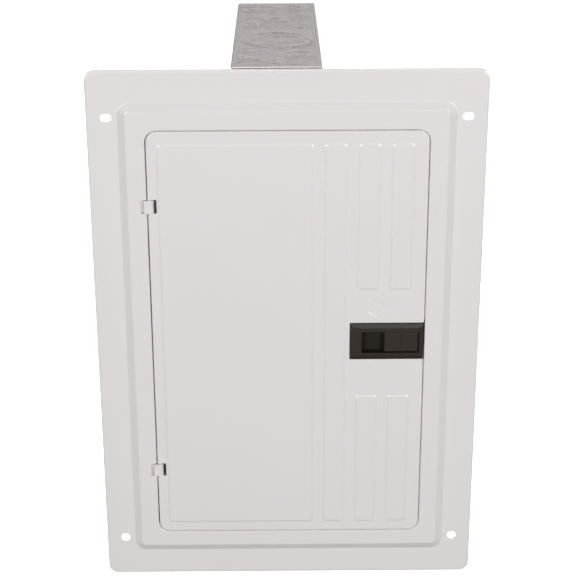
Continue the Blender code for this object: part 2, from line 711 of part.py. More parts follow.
def neutral_parts(frame, mats):
    for side, label in ((-1, "left"), (1, "right")):
        x = sorted((side * NEUTRAL_X[0], side * NEUTRAL_X[1]))
        terminal_bar(f"neutral_bar_{label}", x, (-42, -30), NEUTRAL_Z, 14, frame, mats)
        bm = bmesh.new()
        foot = sorted((side * 110.5, side * 121.5))
        add_box(bm, foot, (-29.7, -1.8), (-70, -30))
        make_object(f"neutral_support_{label}", bm, frame, mats["base"])
    bm = bmesh.new()
    add_box(bm, (-120, 120), (-29.7, -27.7), (STRAP_Z - 7, STRAP_Z + 7))
    strap = make_object("neutral_strap", bm, frame, mats["bar"])
    bm = bmesh.new()
    add_extrusion(bm, circle((BOND_X, STRAP_Z), 3.0, 12), "Y", -34, -24)
    boolean(strap, "DIFFERENCE", bm)
    middle = -sum(NEUTRAL_X) / 2
    wire_lug("neutral_lug", middle, NEUTRAL_Z[1] + 13.3, -46, (12, 15, 13), 7, frame, mats)
    screw("bonding_screw", BOND_X, STRAP_Z, -30.0, -15.5, 5.0, 2.5, frame, mats["bond"])
    ground = (146, 156), (-13.8, -1.8), (-215, -95)
    terminal_bar("ground_bar", *ground, 9, frame, mats)


def breakers(frame, mats):
    number = 1
    for side in (-1, 1):
        for row, span in BREAKER_ROWS:
            breaker_case(f"branch_breaker_{number}", side, row, span, frame, mats)
            branch_handle(f"branch_handle_{number}", side, row, span, frame, mats)
            number += 1


def main():
    clear_scene()
    mats = make_materials()
    cover_frame = empty("cover_frame", (0, COVER_Y, COVER_HEIGHT / 2))
    door_swing = empty("door_swing", (*HINGE_AXIS, 0))
    door_swing.parent = cover_frame
    trim_cover(cover_frame, mats)
    dead_front(cover_frame, mats)
    for label, z in zip(("upper", "lower"), HINGE_HEIGHTS):
        hinge_strap(f"hinge_strap_{label}", z, cover_frame, mats)
    door_panel(door_swing, mats)
    latch_housing(door_swing, mats)
    latch_slider(door_swing, mats)
    directory_card(door_swing, mats)

    back_x = BOX_CENTRE_X - BOX_DEPTH / 2
    middle_y = COVER_Y + STAND_OFF + BOX_WIDTH / 2
    box_frame = empty("enclosure_frame", (back_x, middle_y, BOX_HEIGHT / 2), turn=90)
    enclosure_box(box_frame, mats)
    interior_pan(box_frame, mats)
    bus_base(box_frame, mats)
    bus_bar("bus_bar_a", -1, box_frame, mats)
    bus_bar("bus_bar_b", 1, box_frame, mats)
    main_breaker(box_frame, mats)
    for label, side in (("a", -1), ("b", 1)):
        wire_lug(f"line_lug_{label}", side * LUG_X, 184.0, -46, (9, 15, 11.7), 6, box_frame, mats)
    breakers(box_frame, mats)
    neutral_parts(box_frame, mats)
    corners = [(x, z) for z in PAN_SCREW_Z for x in (-PAN_FOOT_X, PAN_FOOT_X)]
    for number, (x, z) in enumerate(corners, start=1):
        screw(f"pan_screw_{number}", x, z, -3.6, -0.3, 5.0, 1.9, box_frame, mats["screw"])


main()
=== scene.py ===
"""Looks of a residential load center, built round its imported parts.

Shapes are drawn in millimetres in two local frames and then placed in metres.
Cover frame: origin at the cover's centre on its flange's front face, +Y inward, +Z up.
Box frame: origin at the centre of the enclosure's back, open face at -Y, turned by 90 degrees.
"""

import math

import bmesh
import bpy
from mathutils import Matrix, Vector


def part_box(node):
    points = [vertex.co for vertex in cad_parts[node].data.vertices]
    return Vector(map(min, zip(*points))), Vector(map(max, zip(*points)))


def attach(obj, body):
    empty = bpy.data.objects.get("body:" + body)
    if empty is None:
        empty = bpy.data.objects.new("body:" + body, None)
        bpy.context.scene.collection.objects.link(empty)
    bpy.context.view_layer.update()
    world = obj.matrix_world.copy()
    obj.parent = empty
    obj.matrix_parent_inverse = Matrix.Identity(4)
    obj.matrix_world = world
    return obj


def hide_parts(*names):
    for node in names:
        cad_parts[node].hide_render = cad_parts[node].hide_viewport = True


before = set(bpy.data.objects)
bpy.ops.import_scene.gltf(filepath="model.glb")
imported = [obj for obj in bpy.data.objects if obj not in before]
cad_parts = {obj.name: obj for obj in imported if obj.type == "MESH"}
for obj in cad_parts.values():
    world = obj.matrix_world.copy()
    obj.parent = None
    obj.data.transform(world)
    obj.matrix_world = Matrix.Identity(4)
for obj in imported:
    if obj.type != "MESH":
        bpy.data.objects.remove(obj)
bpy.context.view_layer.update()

MM = 0.001

# Cover
RAISE = 4.5
SHEET = 1.2
RIM_ROLL = 2.4
COVER_CORNER = 10.0
FRAME_CENTRE, FRAME_HALF = (-0.1, -1.1), (166.4, 249.1)
FRAME_SLOPE, FRAME_CORNER, FRAME_ROLL = 8.0, 12.5, 3.2
SEAM_LEFT, SEAM_RIGHT, SEAM_BOTTOM, SEAM_TOP = 0.9, 0.55, 0.5, 0.4
OPENING_ROLL = 1.35
HOLE_X, HOLE_TOP, HOLE_BOTTOM = 177.0, 233.0, -235.0
SLOT_HALF, HOLE_RADIUS = (5.5, 4.0), 4.8
TWIST_OUT_HALF = (19, 11.2)

# Door
DOOR_CORNER = 11.0
DOOR_ROLL = 1.3
PAD_CORNER, PAD_SLOPE, PAD_RAISE, PAD_ROLL = 4.0, 1.9, 0.8, 2.0
TALL_PADS = ((-129.0, 26.5), (36.5, 59.5))
SPLIT_PADS = ((70.0, 92.8), (103.0, 126.0))
PAD_ENDS = (-214.0, 207.5)
SPLIT_ENDS = (-64.0, 53.5)
# Middle, radius and depth of the round mark of the lock's knockout
LOCK_MIDDLE, LOCK_RADIUS, LOCK_DEPTH = (89.8, 34.5), 9.0, 0.25

# Hinges, about the door's axis
STRIP_HALF = 1.8
STRAP_REACH, STRAP_TAIL = 5.8, 15.0
CURL_INNER, CURL_OUTER, CURL_STRETCH = 2.2, 3.0, 1.42
NOTCH_REACH, SLOT_END = 8.8, 7.2
RELIEF_HALF = 12.0
STRAPS = ("hinge_strap_upper", "hinge_strap_lower")

# Latch
BEZEL_BEVEL = 4.6
CHANNEL_X, CHANNEL_FLOOR = (76.0, 134.5), 3.0
CHANNEL_BELOW, CHANNEL_ABOVE = 7.7, 9.2
SLIDE_X, TONGUE_HALF = (98.9, 134.2), 6.0
RIB_COUNT, RIB_PITCH = 7, 2.6

# Enclosure
WALL = 1.5
PAN_SCREW_X, PAN_SCREW_Z = 101, (190.0, -180.0)
ROW_PITCH, ROWS_TOP, ROW_COUNT = 25.4, 45.0, 8
BREAKER_ROWS = ((0, 2), (2, 1), (3, 1), (4, 1))
PIVOT_X, PIVOT_Y, DRUM = 41.0, -82.0, 9.0
MAIN_PIVOT, MAIN_DRUM = (-81.0, 115.0), 11.0
# Reach from the pivot and thickness of a lever
LEVER, MAIN_LEVER = (17.0, 4.4), (19.0, 6.4)
LEVER_TILT = 19.0


def cover_place():
    """Cover frame to world."""
    low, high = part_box("trim_cover")
    origin = Vector(((low.x + high.x) / 2, low.y + RAISE * MM, (low.z + high.z) / 2))
    return Matrix.Translation(origin) @ Matrix.Scale(MM, 4)


def box_place():
    """Box frame to world."""
    low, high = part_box("enclosure_box")
    origin = Vector((low.x, (low.y + high.y) / 2, (low.z + high.z) / 2))
    return Matrix.Translation(origin) @ Matrix.Rotation(math.radians(90), 4, "Z") @ Matrix.Scale(MM, 4)


COVER, BOX = cover_place(), box_place()


def span(node, place):
    """A node's box in a local frame: its (low, high) along X, Y and Z."""
    back = place.inverted()
    a, b = (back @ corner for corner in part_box(node))
    return [tuple(sorted(pair)) for pair in zip(a, b)]


def middle_of(node, place):
    """Middle of a node's box along X and Z."""
    x, _, z = span(node, place)
    return sum(x) / 2, sum(z) / 2


# Outlines


def corner_arc(before, here, after, radius, steps):
    """Points that round one corner of a flat path."""
    here = Vector(here[:2])
    if radius <= 0:
        return [here]
    back = (here - Vector(before[:2])).normalized()
    ahead = (Vector(after[:2]) - here).normalized()
    turn = math.atan2(back.cross(ahead), back.dot(ahead))
    side = math.copysign(1.0, turn)
    left = Vector((-back.y - ahead.y, back.x + ahead.x)) / (1 + back.dot(ahead))
    centre = here + left * radius * side
    start = Vector((back.y, -back.x)) * radius * side
    return [centre + Matrix.Rotation(turn * i / steps, 2) @ start for i in range(steps + 1)]


def outline(corners, inset=0.0, steps=6):
    """Closed loop of (a, b, radius) corners, anticlockwise, moved inwards by an inset."""
    points = []
    count = len(corners)
    moved = []
    for i, (a, b, radius) in enumerate(corners):
        here = Vector((a, b))
        back = (here - Vector(corners[i - 1][:2])).normalized()
        ahead = (Vector(corners[(i + 1) % count][:2]) - here).normalized()
        left = Vector((-back.y - ahead.y, back.x + ahead.x)) / (1 + back.dot(ahead))
        grown = radius - inset if back.cross(ahead) > 0 else radius + inset
        moved.append((*(here + left * inset), max(grown, 0.05)))
    for i, corner in enumerate(moved):
        points += corner_arc(moved[i - 1], corner, moved[(i + 1) % count], corner[2], steps)
    return points


def fillet(path, steps=4):
    """Open path whose inner points are (a, b, radius), with those corners rounded."""
    points = [Vector(path[0][:2])]
    for before, here, after in zip(path, path[1:], path[2:]):
        points += corner_arc(before, here, after, here[2] if len(here) > 2 else 0, steps)
    return points + [Vector(path[-1][:2])]


def rectangle(a, b, radius):
    """Corners of a rectangle between two (low, high) pairs."""
    return [(a[0], b[0], radius), (a[1], b[0], radius), (a[1], b[1], radius), (a[0], b[1], radius)]


def around(centre, half, radius):
    """Corners of a rectangle with a centre and half sizes."""
    low = [c - h for c, h in zip(centre, half)]
    high = [c + h for c, h in zip(centre, half)]
    return rectangle((low[0], high[0]), (low[1], high[1]), radius)


def round_hole(centre, radius):
    return around(centre, (radius, radius), radius - 0.001)


def shifted(points, centre):
    return [(centre[0] + a, centre[1] + b) for a, b in points]


def anticlockwise(points):
    area = sum(a[0] * b[1] - b[0] * a[1] for a, b in zip(points, points[1:] + points[:1]))
    return list(points) if area > 0 else list(reversed(points))


# Meshes


def put(axis, a, b, level):
    """Point of a flat shape at a level along an axis."""
    return {"X": (level, a, b), "Y": (a, level, b), "Z": (a, b, level)}[axis]


def ring(bm, points, level, axis="Y"):
    return [bm.verts.new(put(axis, a, b, level)) for a, b in points]


def bridge(bm, first, second, skip=()):
    """Faces between two rings of equal length."""
    count = len(first)
    for i in range(count):
        if i not in skip:
            j = (i + 1) % count
            bm.faces.new((first[i], first[j], second[j], second[i]))


def loft(bm, corners, profile, axis="Y", steps=6):
    """Rings of an outline at each (inset, level) of a profile, joined in turn."""
    rings = [ring(bm, outline(corners, inset, steps), level, axis) for inset, level in profile]
    for first, second in zip(rings, rings[1:]):
        bridge(bm, first, second)
    return rings


def fill(bm, rings):
    """Flat sheet between an outer ring and the rings of its holes."""
    edges = []
    for points in rings:
        for a, b in zip(points, points[1:] + points[:1]):
            edges.append(bm.edges.get((a, b)) or bm.edges.new((a, b)))
    bmesh.ops.triangle_fill(bm, use_beauty=True, use_dissolve=False, edges=edges)


def cap(bm, rings):
    """Closes both ends of a run of rings."""
    bm.faces.new(rings[0])
    bm.faces.new(rings[-1])


def solid(bm, corners, profile, axis="Y", steps=6):
    """Closed body with an outline whose inset changes along a profile."""
    cap(bm, loft(bm, corners, profile, axis, steps))


def soft_profile(low, high, soft, steps=2):
    """Profile between two levels with rounded ends."""
    return fillet([(soft * 1.4, low), (0, low, soft), (0, high, soft), (soft * 1.4, high)], steps)


def block(bm, x, y, z, soft=0.4, axis="Y", corner=None):
    """Box with rounded edges."""
    flat = {"X": (y, z, x), "Y": (x, z, y), "Z": (x, y, z)}[axis]
    corner = soft if corner is None else corner
    solid(bm, rectangle(flat[0], flat[1], corner), soft_profile(*flat[2], soft), axis, steps=3)


def plate(bm, corners, holes, levels, soft=0.3, axis="Y"):
    """Flat plate with rounded edges and holes."""
    low, high = levels
    edge = [(soft, low), (0, low + soft), (0, high - soft), (soft, high)]
    sides = [loft(bm, corners, edge, axis, 4)]
    sides += [loft(bm, hole, [(-inset, level) for inset, level in edge], axis, 6) for hole in holes]
    fill(bm, [side[0] for side in sides])
    fill(bm, [side[-1] for side in sides])


def turned(bm, profile, centre, axis="Y", segments=24):
    """Turned body of (radius, level) points about a line through a centre."""
    rings = []
    for radius, level in profile:
        if radius == 0:
            rings.append([bm.verts.new(put(axis, *centre, level))])
            continue
        turns = [2 * math.pi * i / segments for i in range(segments)]
        points = [(centre[0] + radius * math.cos(t), centre[1] + radius * math.sin(t)) for t in turns]
        rings.append(ring(bm, points, level, axis))
    for first, second in zip(rings, rings[1:]):
        for i in range(segments):
            j = (i + 1) % segments
            corners = dict.fromkeys((first[i % len(first)], first[j % len(first)],
                                     second[j % len(second)], second[i % len(second)]))
            bm.faces.new(list(corners))


def slotted_head(bm, centre, under, radius, height, angle=0.0, axis="Y", out=-1):
    """Screw head: a disc with two rounded half-moons that leave a driver slot between them."""
    half_slot = radius * 0.13
    base = under + out * height * 0.45
    turned(bm, [(0, under), (radius, under), (radius, base), (0, base)], centre, axis)
    for side in (0, 180):
        turn = Matrix.Rotation(math.radians(angle + side), 2)
        start = math.asin(half_slot / radius)
        arc = [start + (math.pi - 2 * start) * i / 12 for i in range(13)]
        moon = [(radius * math.cos(t), radius * math.sin(t)) for t in arc]
        middle = Vector((0, radius * 0.45))
        rings = []
        for scale, share in ((1, 0.3), (1, 0.75), (0.93, 0.93), (0.8, 1.0)):
            level = under + out * height * share
            points = [Vector(centre) + turn @ (middle + (Vector(p) - middle) * scale) for p in moon]
            rings.append(ring(bm, points, level, axis))
        for first, second in zip(rings, rings[1:]):
            bridge(bm, first, second)
        cap(bm, rings)


def extruded(bm, points, low, high, axis="Z"):
    rings = [ring(bm, points, level, axis) for level in (low, high)]
    bridge(bm, *rings)
    cap(bm, rings)


def cylinder(bm, centre, radius, low, high, axis="Y", segments=24):
    turned(bm, [(0, low), (radius, low), (radius, high), (0, high)], centre, axis, segments)


# Objects


def new_object(name, bm, place, front=None):
    """Mesh object from local millimetres; an open sheet says which way its largest face looks."""
    bmesh.ops.recalc_face_normals(bm, faces=bm.faces)
    if front is not None:
        largest = max(bm.faces, key=lambda face: face.calc_area())
        if largest.normal.dot(Vector(front)) < 0:
            bmesh.ops.reverse_faces(bm, faces=bm.faces)
    bmesh.ops.transform(bm, matrix=place, verts=bm.verts)
    mesh = bpy.data.meshes.new(name)
    bm.to_mesh(mesh)
    bm.free()
    obj = bpy.data.objects.new(name, mesh)
    bpy.context.scene.collection.objects.link(obj)
    return obj


def apply_modifiers(obj):
    """Puts the modified mesh in the object's own."""
    view = bpy.context.evaluated_depsgraph_get()
    mesh = bpy.data.meshes.new_from_object(obj.evaluated_get(view))
    obj.modifiers.clear()
    obj.data = mesh


def thicken(obj, thickness):
    """Gives an open sheet its thickness, behind its face."""
    modifier = obj.modifiers.new("sheet", "SOLIDIFY")
    modifier.thickness = thickness * MM
    modifier.offset = -1
    modifier.use_even_offset = True
    apply_modifiers(obj)


def carve(obj, bm, place):
    """Cuts a tool, drawn in a local frame, out of an object."""
    cutter = new_object(obj.name + "_tool", bm, place)
    modifier = obj.modifiers.new("carve", "BOOLEAN")
    modifier.operation = "DIFFERENCE"
    modifier.solver = "EXACT"
    modifier.object = cutter
    apply_modifiers(obj)
    bpy.data.objects.remove(cutter)


def join_mesh(obj, bm):
    """Adds more closed shells, drawn in the box frame, to an object's mesh."""
    bmesh.ops.recalc_face_normals(bm, faces=bm.faces)
    bmesh.ops.transform(bm, matrix=BOX, verts=bm.verts)
    bm.from_mesh(obj.data)
    bm.to_mesh(obj.data)
    bm.free()


def round_edges(obj, width, angle):
    modifier = obj.modifiers.new("edges", "BEVEL")
    modifier.width = width * MM
    modifier.segments = 2
    modifier.limit_method = "ANGLE"
    modifier.angle_limit = math.radians(angle)
    apply_modifiers(obj)


def settle(obj, material, body, slot, *nodes):
    """Shades a finished piece, gives it its material and body, and hides the imported nodes it stands for.
    The slot argument is not used.
    """
    obj.data.shade_smooth()
    obj.data.set_sharp_from_angle(angle=math.radians(38))
    modifier = obj.modifiers.new("normals", "WEIGHTED_NORMAL")
    modifier.keep_sharp = True
    modifier.weight = 80
    apply_modifiers(obj)
    obj.data.materials.clear()
    obj.data.materials.append(material)
    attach(obj, body)
    if nodes:
        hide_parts(*nodes)


def piece(name, bm, place, *looks):
    """A closed piece that needs no more work than settle()."""
    settle(new_object(name, bm, place), *looks)


ROOT = "enclosure_and_cover"


# Materials


class Shader:
    """Small helper that wires nodes into a material's Principled shader."""

    def __init__(self, name, roughness, metallic=0.0, **constants):
        self.material = bpy.data.materials.new(name)
        self.material.use_nodes = True
        self.nodes = self.material.node_tree.nodes
        self.links = self.material.node_tree.links
        self.shader = self.nodes["Principled BSDF"]
        self.shader.inputs["Roughness"].default_value = roughness
        self.shader.inputs["Metallic"].default_value = metallic
        for key, value in constants.items():
            self.shader.inputs[key.replace("_", " ").title().replace("Ior", "IOR")].default_value = value
        self.place = self.nodes.new("ShaderNodeTexCoord").outputs["Object"]

    def stretched(self, scale):
        node = self.nodes.new("ShaderNodeMapping")
        node.inputs["Scale"].default_value = scale
        self.links.new(self.place, node.inputs["Vector"])
        return node.outputs["Vector"]

    def noise(self, scale, detail=2.0, vector=None):
        node = self.nodes.new("ShaderNodeTexNoise")
        node.inputs["Scale"].default_value = scale
        node.inputs["Detail"].default_value = detail
        self.links.new(vector or self.place, node.inputs["Vector"])
        return node.outputs["Fac"]

    def cells(self, scale):
        node = self.nodes.new("ShaderNodeTexVoronoi")
        node.inputs["Scale"].default_value = scale
        self.links.new(self.place, node.inputs["Vector"])
        grey = self.nodes.new("ShaderNodeSeparateColor")
        self.links.new(node.outputs["Color"], grey.inputs["Color"])
        return grey.outputs["Red"]

    def spread(self, value, low, high, start=0.3, end=0.7):
        node = self.nodes.new("ShaderNodeMapRange")
        node.inputs["From Min"].default_value = start
        node.inputs["From Max"].default_value = end
        node.inputs["To Min"].default_value = low
        node.inputs["To Max"].default_value = high
        self.links.new(value, node.inputs["Value"])
        return node.outputs["Result"]

    def blend(self, factor, first, second):
        node = self.nodes.new("ShaderNodeMix")
        node.data_type = "RGBA"
        node.inputs["A"].default_value = (*first, 1)
        node.inputs["B"].default_value = (*second, 1)
        self.links.new(factor, node.inputs["Factor"])
        return node.outputs["Result"]

    def sum(self, first, second, share):
        node = self.nodes.new("ShaderNodeMix")
        node.inputs["Factor"].default_value = share
        self.links.new(first, node.inputs["A"])
        self.links.new(second, node.inputs["B"])
        return node.outputs["Result"]

    def bump(self, height, strength, distance):
        node = self.nodes.new("ShaderNodeBump")
        node.inputs["Strength"].default_value = strength
        node.inputs["Distance"].default_value = distance
        self.links.new(height, node.inputs["Height"])
        self.links.new(node.outputs["Normal"], self.shader.inputs["Normal"])

    def feed(self, name, value):
        self.links.new(value, self.shader.inputs[name])


def tint(colour, factor):
    return tuple(min(c * factor, 1.0) for c in colour)


def paint_material():
    """Baked white enamel: satin, with a very fine orange peel and barely uneven tone."""
    colour = (0.80, 0.768, 0.76)
    paint = Shader("white_enamel", 0.32, coat_weight=0.35, coat_roughness=0.13)
    paint.feed("Base Color", paint.blend(paint.noise(9, 3), tint(colour, 0.985), tint(colour, 1.015)))
    paint.feed("Roughness", paint.spread(paint.noise(240, 3), 0.31, 0.39))
    paint.bump(paint.noise(620, 2), 0.10, 0.00008)
    return paint.material


def galvanised_material(name, colour):
    """Hot-dip zinc: crystals a few millimetres wide with fine rolling lines over them."""
    zinc = Shader(name, 0.36, metallic=0.78)
    crystals = zinc.cells(170)
    lines = zinc.noise(60, 4, zinc.stretched((1, 9, 9)))
    mottled = zinc.sum(crystals, lines, 0.3)
    zinc.feed("Base Color", zinc.blend(mottled, tint(colour, 0.96), tint(colour, 1.04)))
    zinc.feed("Roughness", zinc.spread(zinc.sum(crystals, zinc.noise(900, 2), 0.4), 0.27, 0.34))
    zinc.bump(zinc.sum(crystals, zinc.noise(420, 3), 0.6), 0.03, 0.0001)
    return zinc.material


def plastic_material(name, colour, roughness, grain=2600, depth=0.00006, **constants):
    """Moulded plastic with a spark-eroded grain."""
    plastic = Shader(name, roughness, **constants)
    plastic.feed("Base Color", plastic.blend(plastic.noise(60, 3), tint(colour, 0.88), tint(colour, 1.12)))
    speckle = plastic.noise(grain, 2)
    plastic.feed("Roughness", plastic.spread(speckle, roughness - 0.06, roughness + 0.06))
    plastic.bump(speckle, 0.3, depth)
    return plastic.material


def metal_material(name, colour, roughness, along=(1, 1, 1), scale=500):
    """Bare or plated metal with drawn lines across the given stretch."""
    metal = Shader(name, roughness, metallic=1.0)
    lines = metal.noise(scale, 4, metal.stretched(along))
    metal.feed("Base Color", metal.blend(metal.noise(45, 3), tint(colour, 0.93), tint(colour, 1.05)))
    metal.feed("Roughness", metal.spread(lines, roughness - 0.07, roughness + 0.09))
    metal.bump(lines, 0.12, 0.00005)
    return metal.material


def card_material():
    """Blank directory card: paper fibre and pale ruled lines, one for each breaker row."""
    card = Shader("ruled_card", 0.85)
    rules = card.nodes.new("ShaderNodeTexWave")
    rules.bands_direction = "Z"
    rules.wave_profile = "SAW"
    rules.inputs["Scale"].default_value = 32.0
    card.links.new(card.place, rules.inputs["Vector"])
    line = card.spread(rules.outputs["Fac"], 0.0, 1.0, 0.93, 0.97)
    card.feed("Base Color", card.blend(line, (0.79, 0.78, 0.74), (0.33, 0.36, 0.42)))
    card.bump(card.noise(3500, 3), 0.2, 0.00004)
    return card.material


def make_materials():
    return {
        "paint": paint_material(),
        "zinc": galvanised_material("galvanised_sheet", (0.66, 0.612, 0.605)),
        "pan": galvanised_material("galvanised_pan", (0.50, 0.48, 0.475)),
        "latch": plastic_material("latch_black_brown", (0.025, 0.0185, 0.0135), 0.44),
        # Darker, less shiny copy of the latch plastic for the finger pocket's walls and floor: painted
        # shade in the recess.
        "pocket": plastic_material("latch_pocket_painted_shade", (0.014, 0.010, 0.0065), 0.62, specular_ior_level=0.25),
        "case": plastic_material("breaker_black", (0.020, 0.020, 0.021), 0.48),
        "handle": plastic_material("toggle_black", (0.028, 0.028, 0.029), 0.30, 1800, 0.00003),
        "base": plastic_material("insulator_grey", (0.075, 0.078, 0.085), 0.55),
        "bus": metal_material("tin_plate", (0.72, 0.71, 0.68), 0.30, (1, 1, 8)),
        "bar": metal_material("extruded_aluminium", (0.74, 0.74, 0.75), 0.34, (1, 1, 0.1), 900),
        "screw": metal_material("zinc_plated_steel", (0.62, 0.60, 0.53), 0.28),
        "bond": metal_material("green_dyed_screw", (0.03, 0.22, 0.07), 0.34),
        "card": card_material(),
    }


# Cover


def cover_sheet(mats):
    """One stamping: rolled rim, flat flange with four holes, raised frame and turned-in opening."""
    x, y, z = span("trim_cover", COVER)
    bm = bmesh.new()
    roll = fillet([(0, y[1]), (0, 0, RIM_ROLL), (20, 0)], 7)[:-1]
    rim = loft(bm, rectangle(x, z, COVER_CORNER), roll, steps=9)
    rise = [(-9, 0), (0, 0, FRAME_ROLL), (FRAME_SLOPE, -RAISE, FRAME_ROLL), (FRAME_SLOPE + 9, -RAISE)]
    raised = loft(bm, around(FRAME_CENTRE, FRAME_HALF, FRAME_CORNER), fillet(rise, 6)[1:-1], steps=9)
    turned_in = fillet([(-9, -RAISE), (0, -RAISE, OPENING_ROLL), (0, -0.5)], 5)[1:]
    lip = loft(bm, opening_corners(), turned_in, steps=9)
    holes = []
    for side in (-1, 1):
        slot = around((side * HOLE_X, HOLE_TOP), SLOT_HALF, SLOT_HALF[1] - 0.1)
        hole = round_hole((side * HOLE_X, HOLE_BOTTOM), HOLE_RADIUS)
        holes += [ring(bm, outline(shape, 0, 8), 0) for shape in (slot, hole)]
    fill(bm, [rim[-1], raised[0], *holes])
    bridge(bm, raised[-1], lip[0])
    cover = new_object("cover_sheet", bm, COVER, front=(0, -1, 0))
    thicken(cover, SHEET)
    axis_x = hinge_axis()[0]
    bm = bmesh.new()
    for strap in STRAPS:
        low, high = span(strap, COVER)[2]
        block(bm, (axis_x - NOTCH_REACH, axis_x), (-7, 0), (low - 0.3, high + 0.3), 0.6)
    carve(cover, bm, COVER)
    settle(cover, mats["paint"], ROOT, "white_paint", "trim_cover")


def door_span():
    x, _, z = span("door_panel", COVER)
    return x, z


def opening_corners():
    x, z = door_span()
    across, up = (x[0] - SEAM_LEFT, x[1] + SEAM_RIGHT), (z[0] - SEAM_BOTTOM, z[1] + SEAM_TOP)
    return rectangle(across, up, DOOR_CORNER + 1.0)


def hinge_axis():
    """The door's axis in the cover frame: on the middle of its edge strip, in the sheet's middle."""
    return door_span()[0][0] + STRIP_HALF, SHEET / 2 - RAISE


def curl(radius):
    """Arc of 210 degrees about the door's axis, from the front round towards the door's inside."""
    angles = [math.radians(-90 + 210 * i / 28) for i in range(29)]
    return [(radius * math.cos(t), radius * math.sin(t)) for t in angles]


def strap_section():
    """Section of a strap: a tail behind the cover, a step through its notch and the curl."""
    wall = CURL_OUTER - CURL_INNER
    front = [(-STRAP_TAIL, 1.0), (-STRAP_REACH, 1.0, 0.15), (-STRAP_REACH, -CURL_OUTER, 1.1)]
    back = [(0.0, -CURL_INNER), (wall - STRAP_REACH, -CURL_INNER, 0.3)]
    back += [(wall - STRAP_REACH, 1.8, 0.9), (-STRAP_TAIL, 1.8)]
    path = fillet([*front, (0.0, -CURL_OUTER)], 5)[:-1] + curl(CURL_OUTER)
    path += list(reversed(curl(CURL_INNER))) + fillet(back, 5)[1:]
    return [(a * (CURL_STRETCH if a > 0 else 1), b) for a, b in path]


def hinge_straps(mats):
    for label in ("upper", "lower"):
        node = f"hinge_strap_{label}"
        bm = bmesh.new()
        extruded(bm, shifted(strap_section(), hinge_axis()), *span(node, COVER)[2])
        strap = new_object(f"hinge_curl_{label}", bm, COVER)
        round_edges(strap, 0.22, 50)
        settle(strap, mats["paint"], ROOT, "white_paint", node)


def relief_z(strap):
    """Heights between which other pieces leave room for a strap."""
    middle = middle_of(strap, COVER)[1]
    return middle - RELIEF_HALF, middle + RELIEF_HALF


def row_level(row):
    """Height of a breaker space's middle, in either frame."""
    return ROWS_TOP - ROW_PITCH * (row + 0.5)


def dead_front_plate(mats):
    """Pan behind the door, with breaker windows and pressed twist-outs for the spare spaces."""
    x, y, z = span("dead_front", COVER)
    flange, sheet = 5.4, 1.0
    front, floor = y[0], y[1] - sheet
    bm = bmesh.new()
    path = [(0, front), (flange, front, 1.2), (flange, floor, 2.2), (flange + 9, floor)]
    pan = loft(bm, rectangle(x, z, 9.5), fillet(path, 5)[:-1], steps=7)
    filled = sum(count for _, count in BREAKER_ROWS)
    rows = (ROWS_TOP - filled * ROW_PITCH - 0.5, ROWS_TOP + 0.5)
    windows = [rectangle((-61, -21), rows, 1.2), rectangle((21, 61), rows, 1.2)]
    windows.append(rectangle((-33, 33), (70, 160), 1.5))
    holes = [ring(bm, outline(window), floor) for window in windows]
    for row in range(filled, ROW_COUNT):
        for side in (-1, 1):
            middle = (side * PIVOT_X, row_level(row))
            press = fillet([(-1.5, floor), (0, floor, 0.4), (0.7, floor - 0.6, 0.4), (3, floor - 0.6)], 3)
            knock = loft(bm, around(middle, TWIST_OUT_HALF, 2.4), press[1:-1], steps=4)
            holes.append(knock[0])
            bm.faces.new(knock[-1])
    fill(bm, [pan[-1], *holes])
    plate = new_object("dead_front_plate", bm, COVER, front=(0, -1, 0))
    thicken(plate, sheet)
    bm = bmesh.new()
    for strap in STRAPS:
        reach = relief_z(strap)
        block(bm, (x[0] - 2, hinge_axis()[0] - 6), (front - 1, 2.0), reach, 0.5)
    carve(plate, bm, COVER)
    settle(plate, mats["paint"], ROOT, "white_paint", "dead_front")


# Door and latch


def notch_bounds():
    """Inner end and heights of the door's notch for the latch, with a 0.3 mm gap."""
    x, _, z = span("latch_housing", COVER)
    return x[0] - 0.3, (z[0] - 0.3, z[1] + 0.3)


def door_sheet(mats):
    """Shallow tray whose edges roll in all round, notched for the latch, with embossed panels."""
    x, z = door_span()
    back = 1.0
    notch_x, notch_z = notch_bounds()
    corners = [(x[0], z[0], DOOR_CORNER), (x[1], z[0], DOOR_CORNER), (x[1], notch_z[0], 1.8)]
    corners += [(notch_x, notch_z[0], 0.8), (notch_x, notch_z[1], 0.8)]
    corners += [(x[1], notch_z[1], 1.8), (x[1], z[1], DOOR_CORNER), (x[0], z[1], DOOR_CORNER)]
    bm = bmesh.new()
    tray = loft(bm, corners, fillet([(0, back), (0, -RAISE, DOOR_ROLL), (9, -RAISE)], 5)[:-1], steps=9)
    holes = []
    rise = [(-6, -RAISE), (0, -RAISE, PAD_ROLL), (PAD_SLOPE, -RAISE - PAD_RAISE, PAD_ROLL)]
    rise = fillet([*rise, (PAD_SLOPE + 6, -RAISE - PAD_RAISE)], 4)[1:-1]
    for pad in pad_corners():
        rings = loft(bm, pad, rise, steps=5)
        holes.append(rings[0])
        bm.faces.new(rings[-1])
    low = LOCK_DEPTH - RAISE
    sink = fillet([(-3, -RAISE), (0, -RAISE, 0.8), (0.9, low, 0.8), (4, low)], 3)[1:-1]
    mark = loft(bm, round_hole(LOCK_MIDDLE, LOCK_RADIUS), sink, steps=9)
    holes.append(mark[0])
    bm.faces.new(mark[-1])
    fill(bm, [tray[-1], *holes])
    door = new_object("door_sheet", bm, COVER, front=(0, -1, 0))
    thicken(door, SHEET)
    carve_hinge_slots(door)
    settle(door, mats["paint"], "door", "white_paint", "door_panel")


def pad_corners():
    """Outlines of the embossed panels: two full-height ones and two pairs split by the latch."""
    pads = [rectangle(pad, PAD_ENDS, PAD_CORNER) for pad in TALL_PADS]
    for pad in SPLIT_PADS:
        pads.append(rectangle(pad, (PAD_ENDS[0], SPLIT_ENDS[0]), PAD_CORNER))
        pads.append(rectangle(pad, (SPLIT_ENDS[1], PAD_ENDS[1]), PAD_CORNER))
    return pads


